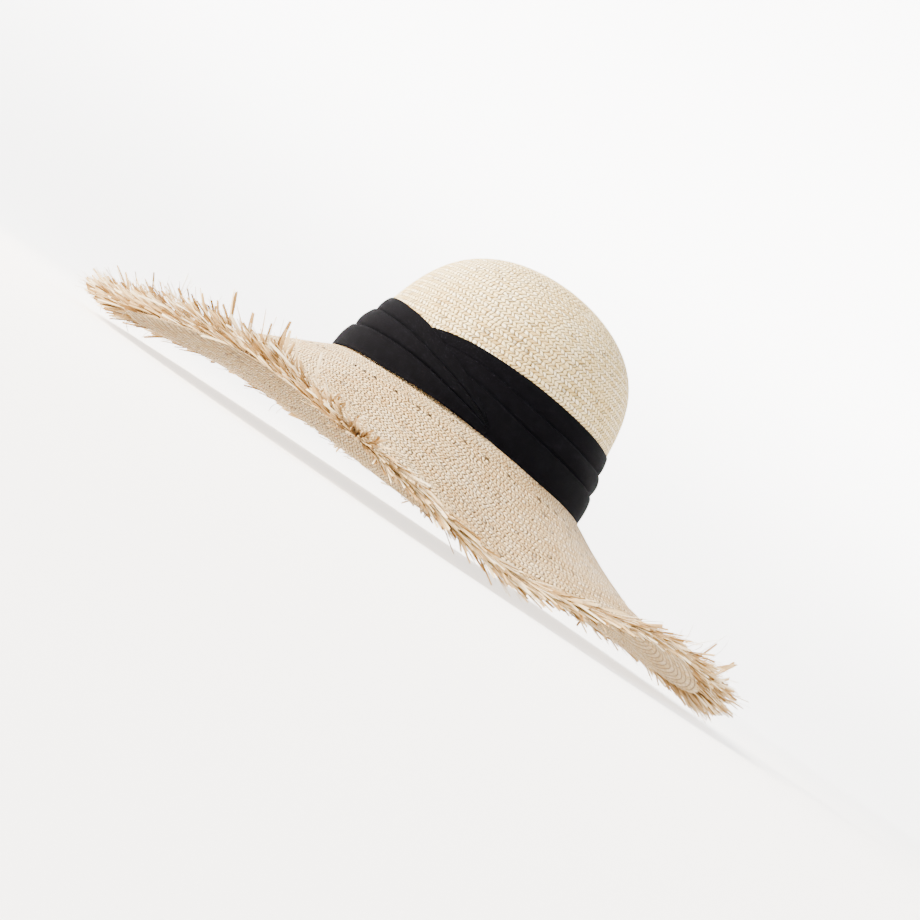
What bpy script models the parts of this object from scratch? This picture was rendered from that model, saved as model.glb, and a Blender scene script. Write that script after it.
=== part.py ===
"""A wide-brimmed raffia sun hat: woven crown and brim, frayed edge, pleated cloth band.

Metres, +Z up. The hat faces -Y, and the wearer's left is +X. Each piece is modelled round the crown's
axis, with the headline, where crown and brim meet, at height 0. The hat then leans the way its uneven
brim makes it rest: its lowest locks touch z = 0, and the middle of its box's base is the origin.
Bearings go round the hat in degrees: 0 is the front, 90 the wearer's left, 180 the back.
"""

import math
import random
from collections import namedtuple

import bmesh
import bpy
from mathutils import Matrix, Vector

# Head opening inside the wall, and the straw itself
HEAD_LENGTH = 0.190
HEAD_WIDTH = 0.174
WALL = 0.002
CLEARANCE = 0.0004

# Crown: a round dome that narrows a little from the headline up and leans back a little
CROWN_HEIGHT = 0.1185
CROWN_TAPER = 0.17
CROWN_SQUARENESS = 5.0
CROWN_SET_BACK = 0.007
CROWN_TIP_RADIUS = 0.012
CROWN_SIDES = 48
CROWN_RINGS = 10
CROWN_RING_CROWDING = 2.2

# Brim, measured over its woven edge; it falls steeply from the headline and then flattens
BRIM_LENGTH = 0.460
BRIM_WIDTH = 0.442
BRIM_DROP = 0.068
BRIM_FLATTENING = 1.45
BRIM_WAVE_GROWTH = 1.8
BRIM_TURN = 0.06
BRIM_SIDES = 80
BRIM_RING_SHARES = (0.0, 0.03, 0.09, 0.22, 0.42, 0.68, 1.0)

# Frayed edge: a thin backing round the brim, with a lock on each of its segments
FRINGE_LENGTH = 0.0265
BACKING_DEPTH = 0.005
BACKING_THICKNESS = 0.0032
FRINGE_SEGMENTS = 240
LOCK_THICKNESS = 0.0024
LOCK_TIP_THICKNESS = 0.001
LOCK_TIP_WIDTH = 0.0034
LOCK_TIP_SWAY = 0.004
LOCK_ELBOW = 0.42
FRINGE_SEED = 7

# Cloth band in three pleats, each lower one standing out further
BAND_HEIGHT = 0.0445
PLEAT_DEPTH = 0.0058
BAND_SAG = 0.0018
BAND_SECTIONS = 58

# How the hat rests
LEAN = 4.5
LEAN_BEARING = 206.0

# Drop of the brim's woven edge below the headline, in shares of BRIM_DROP
EdgePoint = namedtuple("EdgePoint", "bearing drop")
BRIM_EDGE = [
    EdgePoint(3, 0.851),
    EdgePoint(20, 0.746),
    EdgePoint(34, 0.782),
    EdgePoint(48, 0.862),
    EdgePoint(59, 0.944),
    EdgePoint(68, 0.995),
    EdgePoint(76, 0.919),
    EdgePoint(86, 0.776),
    EdgePoint(96, 0.635),
    EdgePoint(108, 0.574),
    EdgePoint(128, 0.632),
    EdgePoint(150, 0.660),
    EdgePoint(165, 0.600),
    EdgePoint(182, 0.551),
    EdgePoint(208, 0.581),
    EdgePoint(230, 0.559),
    EdgePoint(251, 0.546),
    EdgePoint(270, 0.588),
    EdgePoint(285, 0.690),
    EdgePoint(297, 0.809),
    EdgePoint(308, 0.882),
    EdgePoint(322, 0.904),
    EdgePoint(338, 0.956),
    EdgePoint(350, 0.944),
]

# Sections of the band in winding order: it starts under its own end and laps over its start.
# Heights are shares of BAND_HEIGHT; lift and bulk, off the crown and thick, are shares of PLEAT_DEPTH.
BandSection = namedtuple("BandSection", "bearing bottom low_fold high_fold top lift bulk")
BAND_WINDING = [
    BandSection(13, 0.10, 0.50, 0.62, 0.74, 0.00, 0.28),
    BandSection(18, 0.08, 0.52, 0.67, 0.83, 0.00, 0.30),
    BandSection(28, 0.04, 0.53, 0.72, 0.91, 0.00, 0.33),
    BandSection(39, 0.02, 0.52, 0.75, 0.96, 0.00, 0.37),
    BandSection(62, 0.00, 0.44, 0.71, 1.00, 0.00, 0.44),
    BandSection(84, 0.00, 0.38, 0.67, 1.00, 0.00, 1.00),
    BandSection(140, 0.00, 0.34, 0.66, 0.98, 0.00, 0.94),
    BandSection(230, 0.00, 0.34, 0.67, 1.00, 0.00, 1.00),
    BandSection(320, 0.00, 0.33, 0.68, 0.99, 0.00, 1.00),
    BandSection(348, 0.02, 0.33, 0.67, 0.96, 0.10, 0.90),
    BandSection(364, 0.04, 0.33, 0.61, 0.90, 0.34, 0.70),
    BandSection(376, 0.03, 0.32, 0.56, 0.83, 0.42, 0.60),
    BandSection(389, 0.05, 0.27, 0.47, 0.69, 0.46, 0.50),
    BandSection(400, 0.06, 0.20, 0.37, 0.56, 0.50, 0.45),
    BandSection(410, 0.06, 0.15, 0.26, 0.39, 0.52, 0.40),
    BandSection(417, 0.05, 0.10, 0.17, 0.24, 0.52, 0.34),
    BandSection(421, 0.05, 0.07, 0.09, 0.11, 0.52, 0.26),
]

# Outside of a band section from its top edge down: which edge or fold a point follows, the share of the
# pleat below or above that it stands off that line, and how far out it is in shares of the bulk.
PleatPoint = namedtuple("PleatPoint", "line off out")
PLEAT_OUTLINE = [
    PleatPoint("top", 0.00, 0.16),
    PleatPoint("high_fold", 0.12, 0.22),
    PleatPoint("high_fold", 0.00, 0.40),
    PleatPoint("high_fold", -0.16, 0.52),
    PleatPoint("low_fold", 0.12, 0.57),
    PleatPoint("low_fold", 0.00, 0.78),
    PleatPoint("low_fold", -0.16, 0.92),
    PleatPoint("bottom", 0.12, 1.00),
    PleatPoint("bottom", 0.00, 0.86),
]

# Colour as sRGB hex, roughness and metallic of each piece's material
Finish = namedtuple("Finish", "colour roughness metallic")
FINISHES = {
    "crown": Finish("efe3c8", 0.75, 0.0),
    "brim": Finish("e0ccb2", 0.78, 0.0),
    "fringe": Finish("dcbd8d", 0.8, 0.0),
    "band": Finish("0b0b0d", 0.9, 0.0),
}
SMOOTH_BELOW = math.radians(40)


def table_value(rows, column, position, period=None):
    """Smooth curve through one column of a table, against its first column, round and round if periodic."""
    places = [row[0] for row in rows]
    values = [getattr(row, column) for row in rows]
    if period:
        places = [places[-1] - period] + places + [places[0] + period, places[1] + period]
        values = [values[-1]] + values + [values[0], values[1]]
        position = places[1] + (position - places[1]) % period
    position = min(max(position, places[0]), places[-1])
    k = max(i for i in range(len(places) - 1) if places[i] <= position)

    def slope(i):
        before = max(i - 1, 0)
        after = min(i + 1, len(places) - 1)
        return (values[after] - values[before]) / (places[after] - places[before])

    span = places[k + 1] - places[k]
    t = (position - places[k]) / span
    start = (1 + 2 * t) * (1 - t) ** 2 * values[k] + t * (1 - t) ** 2 * span * slope(k)
    end = t * t * (3 - 2 * t) * values[k + 1] - t * t * (1 - t) * span * slope(k + 1)
    return start + end


def on_oval(length, width, bearing, height, back=0.0):
    """Point at a bearing on a level oval, whose centre may lie a little behind the hat's middle."""
    turn = math.radians(bearing)
    return Vector((0.5 * width * math.sin(turn), back - 0.5 * length * math.cos(turn), height))


def bearings(count):
    """Equal steps once round the hat."""
    return [360.0 * i / count for i in range(count)]


def crown_reach(height_share):
    """Share of the headline's radius that the crown has at a share of its height."""
    return (1 - CROWN_TAPER * height_share) * math.sqrt(1 - height_share**CROWN_SQUARENESS)


def crown_set_back(height_share):
    """How far the crown has leaned back at a share of its height."""
    return CROWN_SET_BACK * height_share**2 * (3 - 2 * height_share)


def crown_rings(length, width, height):
    """Level loops of one face of the crown's wall, from the headline to the edge of the flat tip."""
    tip_share = 2 * CROWN_TIP_RADIUS / width
    last = math.acos(tip_share / (1 - CROWN_TAPER))
    top_share = math.sin(last) ** (2 / CROWN_SQUARENESS)
    rings = []
    for k in range(CROWN_RINGS + 1):
        share = math.sin(last * (k / CROWN_RINGS) ** CROWN_RING_CROWDING) ** (2 / CROWN_SQUARENESS)
        reach = crown_reach(share)
        level = height * share / top_share
        back = crown_set_back(share)
        rings.append([on_oval(length * reach, width * reach, b, level, back) for b in bearings(CROWN_SIDES)])
    return rings


def loft(loops, closed=False):
    """Points and faces that join loops of equal length in order, capped at both ends unless closed."""
    size = len(loops[0])
    points = [point for loop in loops for point in loop]
    faces = []
    for k in range(len(loops) if closed else len(loops) - 1):
        here = k * size
        there = (k + 1) % len(loops) * size
        for i in range(size):
            j = (i + 1) % size
            faces.append((here + i, here + j, there + j, there + i))
    if not closed:
        faces.append(tuple(range(size)))
        faces.append(tuple(range((len(loops) - 1) * size, len(loops) * size)))
    return points, faces


def crown():
    """Hollow dome, open at the headline: its inner face from the tip down, then its outer face up."""
    inner = crown_rings(HEAD_LENGTH, HEAD_WIDTH, CROWN_HEIGHT - WALL)
    outer = crown_rings(HEAD_LENGTH + 2 * WALL, HEAD_WIDTH + 2 * WALL, CROWN_HEIGHT)
    return loft(inner[::-1] + outer)


def brim_top(share, bearing):
    """Point of the brim's upper face, a share of the way from the headline to the woven edge."""
    mean = sum(row.drop for row in BRIM_EDGE) / len(BRIM_EDGE)
    wave = table_value(BRIM_EDGE, "drop", bearing, 360) - mean
    length = HEAD_LENGTH + 2 * WALL
    width = HEAD_WIDTH + 2 * WALL
    fall = mean * (1 - (1 - share) ** BRIM_FLATTENING) + wave * share**BRIM_WAVE_GROWTH
    return on_oval(
        length + share * (BRIM_LENGTH - length),
        width + share * (BRIM_WIDTH - width),
        bearing,
        -CLEARANCE - BRIM_DROP * fall,
    )


def brim_axes(share, bearing):
    """Directions at a point of the brim: outward along its slope, round the hat, and off its upper face."""
    step = 0.02
    before = max(share - step, 0)
    outward = (brim_top(min(before + step, 1), bearing) - brim_top(before, bearing)).normalized()
    around = (brim_top(share, bearing + 0.5) - brim_top(share, bearing - 0.5)).normalized()
    face = outward.cross(around).normalized()
    turned = min(share / BRIM_TURN, 1.0)
    level = Vector((outward.x, outward.y, 0)).normalized()
    return outward, around, (turned * face + (1 - turned) * level).normalized()


def brim():
    """Wall that turns out from under the crown's edge and ends in a waving woven edge."""
    upper = []
    under = []
    for share in BRIM_RING_SHARES:
        top = [brim_top(share, b) for b in bearings(BRIM_SIDES)]
        off = [brim_axes(share, b)[2] for b in bearings(BRIM_SIDES)]
        upper.append(top)
        under.append([point - WALL * normal for point, normal in zip(top, off)])
    return loft(upper + under[::-1], closed=True)


def backing_corners(bearing):
    """Corners of the backing's section, inner and outer above and then outer and inner below."""
    outward, _, face = brim_axes(1.0, bearing)
    middle = brim_top(1.0, bearing) - 0.5 * WALL * face
    near = middle + CLEARANCE * outward
    far = near + BACKING_DEPTH * outward
    rise = 0.5 * BACKING_THICKNESS * face
    return [near + rise, far + rise, far - rise, near - rise]


def lock_sections(root, axes, width, splay, length, sway):
    """Elbow and tip of one lock that leaves its root at an angle to the brim's slope."""
    outward, around, face = axes
    angle = math.radians(splay)
    run = math.cos(angle) * outward + math.sin(angle) * face
    rise = math.cos(angle) * face - math.sin(angle) * outward

    def section(centre, wide, thick):
        side = 0.5 * wide * around
        lift = 0.5 * thick * rise
        return [centre - side + lift, centre + side + lift, centre + side - lift, centre - side - lift]

    elbow = section(root + LOCK_ELBOW * length * run, width, LOCK_THICKNESS)
    tip = section(root + length * run + sway * around, LOCK_TIP_WIDTH, LOCK_TIP_THICKNESS)
    return elbow + tip


def fringe():
    """Backing ring with locks drawn out of it, turn about low ones off its rim and high ones off its top."""
    chance = random.Random(FRINGE_SEED)
    around = bearings(FRINGE_SEGMENTS)
    points = [corner for b in around for corner in backing_corners(b)]
    faces = []
    for i in range(FRINGE_SEGMENTS):
        here = 4 * i
        there = 4 * ((i + 1) % FRINGE_SEGMENTS)
        low = i % 2 == 0
        for c in range(4):
            d = (c + 1) % 4
            wall = (here + c, there + c, there + d, here + d)
            if c == (1 if low else 0):
                root = sum((points[k] for k in wall), Vector()) / 4
                width = (points[wall[1]] - points[wall[0]]).length
                splay = chance.uniform(-27, -13) if low else chance.uniform(11, 30)
                length = (FRINGE_LENGTH - BACKING_DEPTH) * chance.uniform(0.72, 1.0)
                sway = LOCK_TIP_SWAY * chance.uniform(-1, 1)
                axes = brim_axes(1.0, 360.0 * (i + 0.5) / FRINGE_SEGMENTS)
                first = len(points)
                points += lock_sections(root, axes, width, splay, length, sway)
                loops = [wall, tuple(range(first, first + 4)), tuple(range(first + 4, first + 8))]
                for a, b in zip(loops, loops[1:]):
                    faces += [(a[k], a[(k + 1) % 4], b[(k + 1) % 4], b[k]) for k in range(4)]
                faces.append(loops[-1])
            else:
                faces.append(wall)
    return points, faces


def band_point(bearing, height_share, out):
    """Point a distance out from the crown at a share of the band's height."""
    height = BAND_HEIGHT * height_share
    share = height / CROWN_HEIGHT
    length = (HEAD_LENGTH + 2 * WALL) * crown_reach(share) + 2 * out
    width = (HEAD_WIDTH + 2 * WALL) * crown_reach(share) + 2 * out
    return on_oval(length, width, bearing, height, crown_set_back(share))


def band_section(winding):
    """Closed loop of the band's section: down over its pleats, then up the side that faces the crown."""
    row = {name: table_value(BAND_WINDING, name, winding) for name in BandSection._fields[1:]}
    above = {"top": row["top"], "high_fold": row["top"], "low_fold": row["high_fold"], "bottom": row["low_fold"]}
    below = {"high_fold": row["low_fold"], "low_fold": row["bottom"]}
    inside = CLEARANCE + row["lift"] * PLEAT_DEPTH
    loop = []
    for point in PLEAT_OUTLINE:
        line = row[point.line]
        pleat = above[point.line] - line if point.off > 0 else line - below.get(point.line, line)
        share = line + point.off * pleat
        corner = band_point(winding, share, inside + point.out * row["bulk"] * PLEAT_DEPTH)
        if point.line == "bottom":
            corner.z -= BAND_SAG * point.out * row["bulk"] ** 2
        loop.append(corner)
    for share in (0.0, 0.5, 1.0):
        loop.append(band_point(winding, row["bottom"] + share * (row["top"] - row["bottom"]), inside))
    return loop


def band():
    """One strip wound once round the crown, its tapered end lapped over its start."""
    first = BAND_WINDING[0].bearing
    last = BAND_WINDING[-1].bearing
    windings = [first + (last - first) * k / (BAND_SECTIONS - 1) for k in range(BAND_SECTIONS)]
    return loft([band_section(w) for w in windings])


def linear(channel):
    """Linear value of one sRGB channel."""
    return channel / 12.92 if channel <= 0.04045 else ((channel + 0.055) / 1.055) ** 2.4


def material(name, finish):
    """Principled material in the piece's colour."""
    made = bpy.data.materials.new(name)
    made.use_nodes = True
    shader = made.node_tree.nodes["Principled BSDF"]
    channels = [int(finish.colour[k : k + 2], 16) / 255 for k in (0, 2, 4)]
    shader.inputs["Base Color"].default_value = [linear(c) for c in channels] + [1.0]
    shader.inputs["Roughness"].default_value = finish.roughness
    shader.inputs["Metallic"].default_value = finish.metallic
    return made


def add_piece(name, shape, hat):
    """Closed body of one piece, carried by the hat's empty."""
    points, faces = shape
    mesh = bpy.data.meshes.new(name)
    mesh.from_pydata(points, [], faces)
    edit = bmesh.new()
    edit.from_mesh(mesh)
    bmesh.ops.recalc_face_normals(edit, faces=edit.faces)
    edit.to_mesh(mesh)
    edit.free()
    mesh.materials.append(material(name, FINISHES[name]))
    mesh.shade_smooth()
    mesh.set_sharp_from_angle(angle=SMOOTH_BELOW)
    piece = bpy.data.objects.new(name, mesh)
    bpy.context.scene.collection.objects.link(piece)
    piece.parent = hat
    return piece


def rest(hat, pieces):
    """Leans the hat and sets it down with the middle of its box's base at the origin."""
    toward = math.radians(LEAN_BEARING)
    axis = Vector((math.cos(toward), math.sin(toward), 0))
    lean = Matrix.Rotation(math.radians(LEAN), 4, axis)
    points = [lean @ vertex.co for piece in pieces for vertex in piece.data.vertices]
    lowest = Vector([min(p[k] for p in points) for k in range(3)])
    highest = Vector([max(p[k] for p in points) for k in range(3)])
    middle = 0.5 * (lowest + highest)
    hat.matrix_world = Matrix.Translation((-middle.x, -middle.y, -lowest.z)) @ lean


def build():
    """Clears the scene and makes the hat."""
    for old in list(bpy.data.objects):
        bpy.data.objects.remove(old)
    hat = bpy.data.objects.new("hat", None)
    bpy.context.scene.collection.objects.link(hat)
    shapes = {"crown": crown(), "brim": brim(), "fringe": fringe(), "band": band()}
    pieces = [add_piece(name, shape, hat) for name, shape in shapes.items()]
    rest(hat, pieces)


build()
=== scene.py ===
"""Looks of a wide-brimmed raffia sun hat: zigzag weave, frayed edge and pleated crepe band.

Everything is worked out round the crown's axis, with the headline, where crown and brim meet, at height 0,
then leaned and set down as the solids are. Bearings go round the hat in degrees: 0 is the front (-Y), 90
the wearer's left (+X), 180 the back.
"""

import math

import bmesh
import bpy
import numpy as np
from mathutils import Matrix, Vector


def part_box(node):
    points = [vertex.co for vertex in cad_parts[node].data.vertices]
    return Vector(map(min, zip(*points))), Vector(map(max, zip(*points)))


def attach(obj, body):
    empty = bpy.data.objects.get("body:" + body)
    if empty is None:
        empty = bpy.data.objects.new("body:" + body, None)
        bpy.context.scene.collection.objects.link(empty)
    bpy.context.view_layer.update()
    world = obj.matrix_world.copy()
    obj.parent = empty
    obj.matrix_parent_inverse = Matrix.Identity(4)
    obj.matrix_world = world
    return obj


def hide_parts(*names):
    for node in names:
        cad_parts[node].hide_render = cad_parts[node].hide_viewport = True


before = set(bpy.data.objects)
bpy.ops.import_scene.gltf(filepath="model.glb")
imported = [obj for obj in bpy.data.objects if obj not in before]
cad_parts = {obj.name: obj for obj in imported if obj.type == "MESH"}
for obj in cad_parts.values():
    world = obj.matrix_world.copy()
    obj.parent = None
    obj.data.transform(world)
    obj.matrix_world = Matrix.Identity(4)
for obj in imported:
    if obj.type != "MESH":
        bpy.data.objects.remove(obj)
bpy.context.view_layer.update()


def columns(names, rows):
    """Table with named columns from rows of numbers."""
    return dict(zip(names.split(), zip(*rows)))


# Sizes shared with the solids, in metres; the lean in degrees, tapers, powers and turns as plain numbers
HEAD_LENGTH = 0.190
HEAD_WIDTH = 0.174
WALL = 0.002
CLEARANCE = 0.0004
CROWN_HEIGHT = 0.1185
CROWN_TAPER = 0.17
CROWN_SQUARENESS = 5.0
CROWN_SET_BACK = 0.007
BRIM_LENGTH = 0.460
BRIM_WIDTH = 0.442
BRIM_DROP = 0.068
BRIM_FLATTENING = 1.45
BRIM_WAVE_GROWTH = 1.8
BRIM_TURN = 0.06
BAND_HEIGHT = 0.0445
PLEAT_DEPTH = 0.0058
LEAN = 4.5
LEAN_BEARING = 206.0
BASE_LENGTH = HEAD_LENGTH + 2 * WALL
BASE_WIDTH = HEAD_WIDTH + 2 * WALL

# Drop of the woven edge below the headline, in shares of BRIM_DROP
BRIM_EDGE = columns(
    "bearing drop",
    [(3, 0.851), (20, 0.746), (34, 0.782), (48, 0.862), (59, 0.944), (68, 0.995)]
    + [(76, 0.919), (86, 0.776), (96, 0.635), (108, 0.574), (128, 0.632), (150, 0.660)]
    + [(165, 0.600), (182, 0.551), (208, 0.581), (230, 0.559), (251, 0.546), (270, 0.588)]
    + [(285, 0.690), (297, 0.809), (308, 0.882), (322, 0.904), (338, 0.956), (350, 0.944)],
)

# Band in winding order, heights in shares of BAND_HEIGHT, lift and bulk in shares of PLEAT_DEPTH
BAND_WINDING = columns(
    "bearing bottom low_fold high_fold top lift bulk",
    [
        (13, 0.10, 0.50, 0.62, 0.74, 0.00, 0.28),
        (18, 0.08, 0.52, 0.67, 0.83, 0.00, 0.30),
        (28, 0.04, 0.53, 0.72, 0.91, 0.00, 0.33),
        (39, 0.02, 0.52, 0.75, 0.96, 0.00, 0.37),
        (62, 0.00, 0.44, 0.71, 1.00, 0.00, 0.46),
        (84, 0.00, 0.38, 0.67, 1.00, 0.00, 1.00),
        (140, 0.00, 0.34, 0.66, 0.98, 0.00, 0.94),
        (230, 0.00, 0.34, 0.67, 1.00, 0.00, 1.00),
        (320, 0.00, 0.33, 0.68, 0.99, 0.00, 1.00),
        (348, 0.02, 0.33, 0.67, 0.96, 0.10, 0.97),
        (364, 0.04, 0.33, 0.61, 0.90, 0.34, 0.87),
        (376, 0.03, 0.32, 0.56, 0.83, 0.42, 0.80),
        (389, 0.05, 0.27, 0.47, 0.69, 0.46, 0.72),
        (400, 0.06, 0.20, 0.37, 0.56, 0.50, 0.65),
        (410, 0.06, 0.15, 0.26, 0.39, 0.52, 0.56),
        (417, 0.05, 0.10, 0.17, 0.24, 0.52, 0.46),
        (421, 0.05, 0.07, 0.09, 0.11, 0.52, 0.32),
    ],
)

# The cloth's way down one section: the edge or fold a point follows, how far off it in shares of the pleat
# above (+) or below (-), and how far out in shares of the bulk. Each pleat's foot hides behind the next.
CLOTH_PATH = [
    ("top", -0.14, 0.00),
    ("top", -0.03, 0.01),
    ("top", 0.01, 0.08),
    ("top", -0.05, 0.18),
    ("top", -0.45, 0.34),
    ("high_fold", 0.20, 0.25),
    ("high_fold", -0.02, 0.00),
    ("high_fold", -0.26, 0.03),
    ("high_fold", -0.16, 0.28),
    ("high_fold", -0.03, 0.37),
    ("high_fold", 0.03, 0.47),
    ("high_fold", -0.06, 0.60),
    ("high_fold", -0.36, 0.75),
    ("low_fold", 0.24, 0.63),
    ("low_fold", 0.06, 0.34),
    ("low_fold", -0.08, 0.24),
    ("low_fold", -0.28, 0.30),
    ("low_fold", -0.16, 0.62),
    ("low_fold", -0.03, 0.73),
    ("low_fold", 0.03, 0.83),
    ("low_fold", -0.06, 0.94),
    ("low_fold", -0.42, 1.05),
    ("bottom", 0.20, 1.00),
    ("bottom", 0.04, 0.93),
    ("bottom", 0.00, 0.85),
    ("bottom", 0.06, 0.76),
    ("bottom", 0.25, 0.74),
]

# Cloth, in metres, and how far its folds wander, in shares of BAND_HEIGHT
CLOTH_THICKNESS = 0.0004
CLOTH_STEPS = 4
CLOTH_COLUMNS = 340
CLOTH_SOFTNESS = 0.00022
CLOTH_OVER_BRIM = 0.0001
FOLD_WANDER = 0.012
CREPE_PEBBLE = 0.002 / 3
CREPE_CREASE = 0.00625

# How the fringe lies round the edge: degrees it is swept toward higher bearings, and degrees it flares up
FRINGE_LIE = columns(
    "bearing swept flare",
    [(5, -46, 34), (22, -46, 27), (36, -40, 20), (46, 52, 6), (58, 66, 3), (80, 66, 3)]
    + [(105, 52, 4), (128, 18, 8), (148, 6, -16), (165, -10, -6), (195, 18, 4)]
    + [(225, -22, 9), (260, 16, 5), (290, -12, 6), (320, -24, 12), (345, -40, 28)],
)

# Strips: how much clumps and strips differ, how thin and hollow a strip gets, and its gap over the floor
CLUMP_JITTER = 0.4
CLUMP_LENGTHS = (0.85, 1.08)
CLUMP_TONE_SPREAD = 0.1
STRIP_TONE_SPREAD = 0.29
CUT_SLANT = 0.6
THINNEST_SHARE = 0.35
UNDERSIDE_SHARE = 0.4
FLOOR_GAP = 0.00015
FLOOR_GAP_SPREAD = 0.0006

# Weave: rows of slanting stitches that turn the other way from row to row, slants in stitches to a row
CROWN_ROW = 0.0025
CROWN_STITCH = 0.0032
BRIM_ROW = 0.0034
BRIM_STITCH = 0.0029
BRIM_FINE_ROW = 0.0019
BRIM_FINE_ROWS = 12
BRIM_MEAN_REACH = 0.140
BRIM_SWAY = 0.0006
ROW_RELIEF = 0.00022
CROWN_COLUMNS = 288
BRIM_COLUMNS = 400
EVEN_SLANT = -0.95
ODD_SLANT = 0.40
FIBRES_IN_STITCH = 7.0
STRAW_PATCH = 1 / 22

# Camera: the view of the reference, worked out from the hat's own outline
CAMERA_AZIMUTH = 49.94
CAMERA_ELEVATION = -1.127
CAMERA_ROLL = 34.165
CAMERA_DISTANCE = 1.40
CAMERA_AIM = Vector((0.00517, 0.0122, 0.05425))
CAMERA_LENS = 83.64
CAMERA_SENSOR = 36.0

# Studio: a floor that curves up into a round wall, and a square key light, in metres, degrees and watts
FLOOR_RADIUS = 2.8
FLOOR_CURVE = 1.2
STAGE_HEIGHT = 3.4
STAGE_SIDES = 96
WALL_GLOW_AZIMUTH = CAMERA_AZIMUTH - 150
KEY_AZIMUTH = CAMERA_AZIMUTH - 76
KEY_ELEVATION = 34
KEY_DISTANCE = 2.2
KEY_SIZE = 0.9
KEY_POWER = 290
KEY_AIM = Vector((0, 0, 0.08))
SKY_STRENGTH = 0.2


def column(table, name, where, period=None):
    """Smooth curve through one column of a table against its bearings, closed round if a period is given.

    From place to place it is a cubic whose slope at each is that from the place before to the place after.
    """
    places = np.array(table["bearing"], float)
    values = np.array(table[name], float)
    where = np.asarray(where, float)
    if period:
        places = np.concatenate([[places[-1] - period], places, places[:2] + period])
        values = np.concatenate([values[-1:], values, values[:2]])
        where = places[1] + (where - places[1]) % period
    where = np.clip(where, places[0], places[-1])
    k = np.clip(np.searchsorted(places, where, side="right") - 1, 0, len(places) - 2)
    before = np.maximum(np.arange(len(places)) - 1, 0)
    after = np.minimum(np.arange(len(places)) + 1, len(places) - 1)
    slope = (values[after] - values[before]) / (places[after] - places[before])
    span = places[k + 1] - places[k]
    t = (where - places[k]) / span
    start = (1 + 2 * t) * (1 - t) ** 2 * values[k] + t * (1 - t) ** 2 * span * slope[k]
    end = t * t * (3 - 2 * t) * values[k + 1] - t * t * (1 - t) * span * slope[k + 1]
    return start + end


def oval(length, width, bearing, height, back=0.0):
    """Points at bearings on level ovals: x is half the width times the bearing's sine.

    y is minus half the length times its cosine, from a middle set back along y.
    """
    turn = np.radians(bearing)
    x = 0.5 * width * np.sin(turn)
    y = back - 0.5 * length * np.cos(turn)
    return np.stack(np.broadcast_arrays(x, y, height), -1)


def unit(vectors):
    """Vectors scaled to length 1."""
    return vectors / np.maximum(np.linalg.norm(vectors, axis=-1, keepdims=True), 1e-12)


def crown_reach(share):
    """Share of the headline's radius at a share of the crown's height: a taper times a squarish dome."""
    return (1 - CROWN_TAPER * share) * np.sqrt(np.maximum(1 - share**CROWN_SQUARENESS, 0))


def crown_set_back(share):
    """How far the crown has leaned back at a share of its height, easing in and out."""
    return CROWN_SET_BACK * share**2 * (3 - 2 * share)


def lean_matrix():
    """Rotation that leans the crown's axis toward LEAN_BEARING."""
    bearing = math.radians(LEAN_BEARING)
    axis = Vector((math.cos(bearing), math.sin(bearing), 0))
    return np.array(Matrix.Rotation(math.radians(LEAN), 3, axis))


LEANED = lean_matrix()


def set_down_shift():
    """Where the headline's centre stands: the leaned crown's box set against the crown solid's box."""
    share = np.linspace(0, 1, 400)[:, None]
    bearing = np.arange(0, 360, 0.5)[None, :]
    reach = crown_reach(share)
    height = CROWN_HEIGHT * share
    points = oval(BASE_LENGTH * reach, BASE_WIDTH * reach, bearing, height, crown_set_back(share))
    points = points.reshape(-1, 3) @ LEANED.T
    low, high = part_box("crown")
    return 0.5 * (np.array(low) + np.array(high) - points.min(0) - points.max(0))


SHIFT = set_down_shift()


def set_down(points):
    """Points from the crown's frame to the row frame."""
    return np.asarray(points) @ LEANED.T + SHIFT


def ripple(seed, waves, around, along):
    """Smooth seeded unevenness, about -1 to 1, over a way round and a way along, both in turns.

    It is a sum of sines, each with 2 to 13 whole turns round and up to 9 along, from a phase of its own.
    """
    chance = np.random.default_rng(seed)
    total = 0.0
    for _ in range(waves):
        turns = chance.integers(2, 14)
        rate = chance.uniform(-9, 9)
        phase = chance.uniform(0, 6.3)
        total = total + np.sin(2 * np.pi * (turns * around + rate * along) + phase)
    return total / math.sqrt(waves) * 0.8


def brim_surface(share, bearing):
    """Upper face of the brim at shares of its reach: ovals that widen evenly to the woven edge.

    They fall by the mean drop on a flattening curve, and by a wave that grows to each bearing's own drop.
    """
    mean = np.mean(BRIM_EDGE["drop"])
    wave = column(BRIM_EDGE, "drop", bearing, 360) - mean
    fall = mean * (1 - (1 - share) ** BRIM_FLATTENING) + wave * share**BRIM_WAVE_GROWTH
    length = BASE_LENGTH + share * (BRIM_LENGTH - BASE_LENGTH)
    width = BASE_WIDTH + share * (BRIM_WIDTH - BASE_WIDTH)
    return oval(length, width, bearing, -CLEARANCE - BRIM_DROP * fall)


def brim_axes(share, bearing):
    """Unit directions on the brim by small differences: out along the slope, round the hat, off the face.

    Near the crown the last one turns level, because the brim's wall meets the crown's wall there.
    """
    step = 0.02
    before = np.clip(share - step, 0, 1 - step)
    outward = unit(brim_surface(before + step, bearing) - brim_surface(before, bearing))
    degrees = 0.5
    around = unit(brim_surface(share, bearing + degrees) - brim_surface(share, bearing - degrees))
    face = unit(np.cross(outward, around))
    level = unit(outward * np.array([1, 1, 0]))
    turned = np.minimum(np.asarray(share) / BRIM_TURN, 1.0)[..., None]
    return outward, around, unit(turned * face + (1 - turned) * level)


def srgb(code):
    """Linear RGBA from an sRGB hex value."""
    channels = [int(code[k : k + 2], 16) / 255 for k in (0, 2, 4)]
    return [c / 12.92 if c <= 0.04045 else ((c + 0.055) / 1.055) ** 2.4 for c in channels] + [1.0]


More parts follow.
